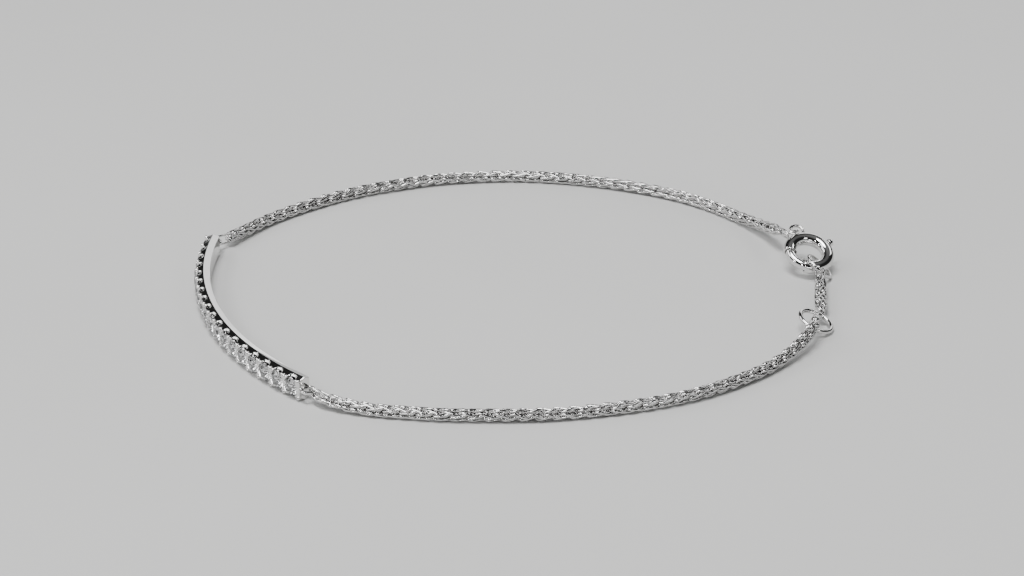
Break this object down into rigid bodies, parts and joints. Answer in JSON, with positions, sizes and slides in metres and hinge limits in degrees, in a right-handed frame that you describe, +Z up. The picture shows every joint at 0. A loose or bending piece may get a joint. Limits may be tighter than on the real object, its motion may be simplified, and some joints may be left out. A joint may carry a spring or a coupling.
{
  "type": "diamond bar bracelet",
  "caption": "Curved bar pave-set with round diamonds, on woven chain with a spring-ring clasp and a sizing ring, closed and lying on its side.",
  "frame": {"origin": "middle of the closed loop, on the surface that the bracelet lies on", "axes": "+X from the bar across the loop to the clasp, +Y from the short chain to the long chain, +Z up"},
  "size_m": [0.0617, 0.054, 0.0036],
  "materials": {
    "bar_metal": "rhodium-plated white gold, mirror polished",
    "chain_metal": "rhodium-plated white gold wire, polished",
    "ring_metal": "rhodium-plated white gold wire, polished",
    "clasp_metal": "rhodium-plated white gold, high polish",
    "diamond": "faceted colourless diamond"
  },
  "bodies": {
    "root": {"bar_setting": "bar_metal", "long_chain": "chain_metal", "short_chain": "chain_metal", "extension_chain": "chain_metal", "sizing_ring": "ring_metal", "end_ring": "ring_metal", "clasp_jump_ring": "ring_metal", "clasp_body": "clasp_metal"},
    "bolt": {"clasp_bolt": "clasp_metal"}
  },
  "joints": [
    {"name": "clasp_slide", "type": "hinge", "parent": "root", "child": "bolt", "pos_m": [0.02852, 0.00472, 0.0019], "axis": [0.1692, -0.3714, 0.9129], "range_deg": [0, 46], "stiffness_Nm_per_rad": 0.0002, "springref_deg": -57.3}
  ]
}
